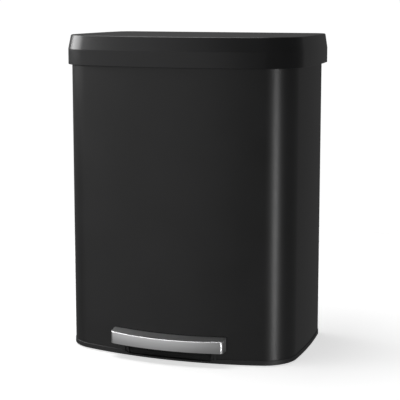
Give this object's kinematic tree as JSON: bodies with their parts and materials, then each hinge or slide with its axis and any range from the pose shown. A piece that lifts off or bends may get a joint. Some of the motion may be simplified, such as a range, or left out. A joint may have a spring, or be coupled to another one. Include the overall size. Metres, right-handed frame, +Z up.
{
  "type": "pedal trash can",
  "caption": "Wide kitchen waste can with a bowed front, hinged lid with a sloped front band, foot bar at the bottom and a lift-out inner bucket.",
  "frame": {"origin": "on the floor, in the middle of the footprint between the foot bar's front and the lid's back", "axes": "+Z up, -Y towards the foot bar, +X to the right of a person facing +Y"},
  "size_m": [0.512, 0.374, 0.66],
  "materials": {
    "shell_steel": "satin black powder coat on sheet steel",
    "lid_plastic": "satin black moulded plastic",
    "base_plastic": "fine matt texture",
    "bucket_plastic": "smooth moulded plastic",
    "white_plastic": "natural low-friction plastic",
    "pedal_steel": "long grain brushed along its length",
    "bright_steel": "drawn bright steel",
    "zinc_steel": "zinc plated",
    "rubber": "matt"
  },
  "bodies": {
    "can": {"outer_shell": "shell_steel", "base_tray": "base_plastic", "rubber_feet": "rubber", "rim_collar": "base_plastic", "inner_bucket": "bucket_plastic", "divider_panel": "zinc_steel", "hinge_cover": "base_plastic", "hinge_bracket_left": "zinc_steel", "hinge_bracket_right": "zinc_steel", "hinge_pin_left": "bright_steel", "hinge_pin_right": "bright_steel", "lower_guide_left": "white_plastic", "lower_guide_right": "white_plastic", "upper_guide_left": "white_plastic", "upper_guide_right": "white_plastic", "damper_cylinder": "bright_steel", "damper_clamp": "zinc_steel", "pivot_bracket_left": "zinc_steel", "pivot_bracket_right": "zinc_steel", "pivot_axle": "bright_steel", "axle_clips": "bright_steel", "lever_stops": "rubber", "shell_rivets": "shell_steel", "bracket_screws": "zinc_steel", "hinge_screws": "zinc_steel", "cover_screws": "shell_steel", "guide_screws": "zinc_steel"},
    "lid": {"lid_shell": "lid_plastic", "lid_liner": "base_plastic", "lid_lever_left": "bright_steel", "lid_lever_right": "bright_steel", "lid_bumpers": "rubber", "lid_screws": "zinc_steel"},
    "pedal": {"pedal_cover": "pedal_steel", "pedal_core": "base_plastic", "lever_arm_left": "zinc_steel", "lever_arm_right": "zinc_steel", "lift_bar": "zinc_steel", "pivot_bush_left": "white_plastic", "pivot_bush_right": "white_plastic", "lift_pads": "rubber", "pedal_screws": "zinc_steel", "lever_rivets": "bright_steel"},
    "rods": {"push_rod_left": "bright_steel", "push_rod_right": "bright_steel", "rod_head_left": "white_plastic", "rod_head_right": "white_plastic", "rod_foot_left": "white_plastic", "rod_foot_right": "white_plastic", "rod_bridge": "zinc_steel", "rod_clips": "bright_steel", "damper_piston": "bright_steel", "damper_nut": "zinc_steel"}
  },
  "joints": [
    {"name": "lid_open", "type": "hinge", "parent": "can", "child": "lid", "pos_m": [0, 0.172, 0.606], "axis": [-1, 0, 0], "range_deg": [0, 78]},
    {"name": "pedal_press", "type": "hinge", "parent": "can", "child": "pedal", "pos_m": [0, -0.052, 0.026], "axis": [1, 0, 0], "range_deg": [0, 8.55]},
    {"name": "rod_lift", "type": "slide", "parent": "can", "child": "rods", "axis": [0, 0, 1], "range_m": [0, 0.03]}
  ],
  "couplings": [
    {"joint": "pedal_press", "follows": "lid_open", "ratio": 0.10931},
    {"joint": "rod_lift", "follows": "lid_open", "m_per_rad": 0.022}
  ]
}
